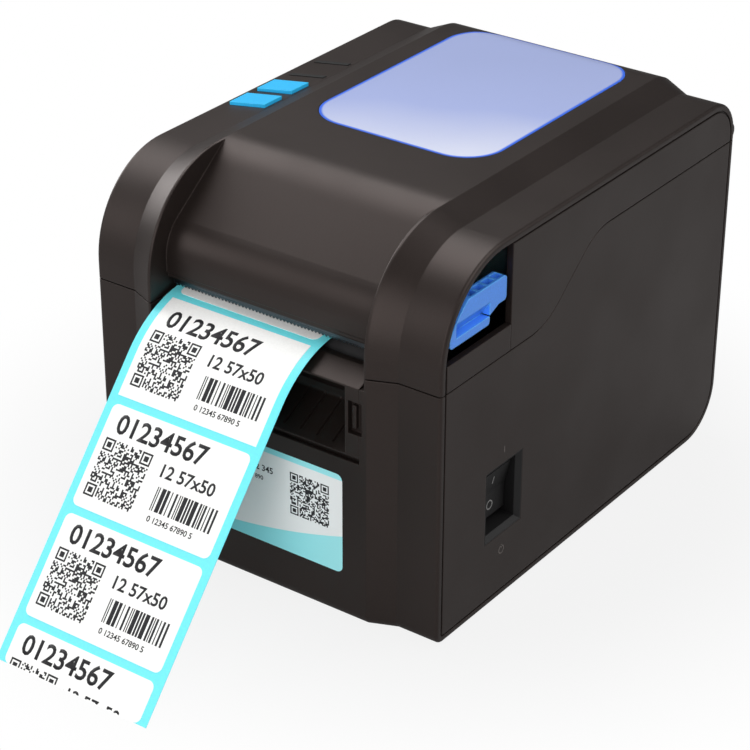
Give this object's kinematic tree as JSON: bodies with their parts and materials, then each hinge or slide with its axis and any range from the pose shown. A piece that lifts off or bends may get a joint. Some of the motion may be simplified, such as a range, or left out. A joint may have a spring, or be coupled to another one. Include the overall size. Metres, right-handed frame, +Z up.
{
  "type": "thermal label printer",
  "caption": "Desktop thermal label printer: rear-hinged lid with a window, side latch levers, drop-in roll, geared platen and a strip of labels hanging from its front slot.",
  "frame": {"origin": "centre of the case's footprint on the desk, under the feet", "axes": "+X to the printer's right seen from the front, +Y to its back, +Z up; labels leave to -Y"},
  "size_m": [0.148, 0.293, 0.1467],
  "materials": {
    "case_black": "fine textured moulding",
    "inner_black": "moulded",
    "window_tint": "tinted clear moulding",
    "light_pipe": "clear moulding",
    "key_blue": "moulded",
    "lever_blue": "moulded",
    "rail_grey": "moulded",
    "gear_white": "moulded acetal",
    "rubber_black": "ground",
    "sheet_steel": "plated sheet",
    "bright_steel": "turned",
    "motor_steel": "painted can",
    "sink_aluminium": "extruded",
    "head_ceramic": "glazed strip",
    "board_green": "solder mask",
    "liner_paper": "glassine liner",
    "label_paper": "coated",
    "core_card": "wound board"
  },
  "bodies": {
    "base": {"lower_housing": "case_black", "bottom_plate": "inner_black", "rubber_feet": "rubber_black", "base_screws": "bright_steel", "front_panel": "case_black", "main_board": "board_green", "data_socket": "inner_black", "power_socket": "inner_black", "switch_well": "inner_black", "feed_frame": "sheet_steel", "platen_bushes": "gear_white", "idler_post": "bright_steel", "feed_motor": "motor_steel", "paper_guide": "inner_black", "gap_sensor": "inner_black", "label_tray": "inner_black", "holder_rail": "rail_grey", "roll_holder_left": "lever_blue", "label_web": "liner_paper", "labels": "label_paper", "hinge_pins": "bright_steel"},
    "lid": {"upper_cover": "case_black", "view_window": "window_tint", "indicator_pipes": "light_pipe", "key_board": "board_green", "lever_sill_right": "case_black", "lever_sill_left": "case_black", "tear_bar": "sheet_steel", "head_bracket": "sheet_steel", "head_pin": "bright_steel", "bracket_screws": "bright_steel", "head_spring": "sheet_steel"},
    "print_head": {"head_plate": "head_ceramic", "heat_sink": "sink_aluminium"},
    "latch": {"latch_shaft": "bright_steel", "latch_lever_right": "lever_blue", "latch_lever_left": "lever_blue"},
    "feed_key": {"feed_button": "key_blue"},
    "pause_key": {"pause_button": "key_blue"},
    "rocker": {"power_rocker": "inner_black"},
    "platen": {"platen_shaft": "bright_steel", "platen_roller": "rubber_black", "platen_gear": "gear_white"},
    "idler": {"idler_gear": "gear_white"},
    "pinion": {"motor_pinion": "gear_white"},
    "roll": {"label_roll": "label_paper", "roll_core": "core_card"},
    "sliding_holder": {"roll_holder_right": "lever_blue"}
  },
  "joints": [
    {"name": "lid_hinge", "type": "hinge", "parent": "base", "child": "lid", "pos_m": [0, 0.1006, 0.1241], "axis": [-1, 0, 0], "range_deg": [0, 85]},
    {"name": "head_float", "type": "hinge", "parent": "lid", "child": "print_head", "pos_m": [0, -0.056, 0.1071], "axis": [-1, 0, 0], "range_deg": [0, 2], "stiffness_Nm_per_rad": 30, "deforming": ["head_spring"]},
    {"name": "latch_lift", "type": "hinge", "parent": "lid", "child": "latch", "pos_m": [0, -0.082, 0.1177], "axis": [1, 0, 0], "range_deg": [0, 12], "stiffness_Nm_per_rad": 0.4},
    {"name": "feed_press", "type": "slide", "parent": "lid", "child": "feed_key", "axis": [0, 0, -1], "range_m": [0, 0.0008], "stiffness_N_per_m": 800},
    {"name": "pause_press", "type": "slide", "parent": "lid", "child": "pause_key", "axis": [0, 0, -1], "range_m": [0, 0.0008], "stiffness_N_per_m": 800},
    {"name": "power_rock", "type": "hinge", "parent": "base", "child": "rocker", "pos_m": [0.065, -0.05625, 0.04225], "axis": [0, -1, 0], "range_deg": [0, 14]},
    {"name": "roll_spin", "type": "hinge", "parent": "base", "child": "roll", "pos_m": [0, 0.029, 0.0635], "axis": [1, 0, 0], "continuous": true},
    {"name": "platen_spin", "type": "hinge", "parent": "base", "child": "platen", "pos_m": [0, -0.079, 0.09375], "axis": [1, 0, 0], "continuous": true},
    {"name": "idler_spin", "type": "hinge", "parent": "base", "child": "idler", "pos_m": [0, -0.06666, 0.07904], "axis": [1, 0, 0], "continuous": true},
    {"name": "pinion_spin", "type": "hinge", "parent": "base", "child": "pinion", "pos_m": [0, -0.05011, 0.07612], "axis": [1, 0, 0], "continuous": true},
    {"name": "holder_slide", "type": "slide", "parent": "base", "child": "sliding_holder", "axis": [1, 0, 0], "range_m": [0, 0.017]}
  ],
  "couplings": [
    {"joint": "platen_spin", "follows": "roll_spin", "ratio": 4.7812},
    {"joint": "idler_spin", "follows": "roll_spin", "ratio": -3.4152},
    {"joint": "pinion_spin", "follows": "roll_spin", "ratio": 6.8304}
  ]
}
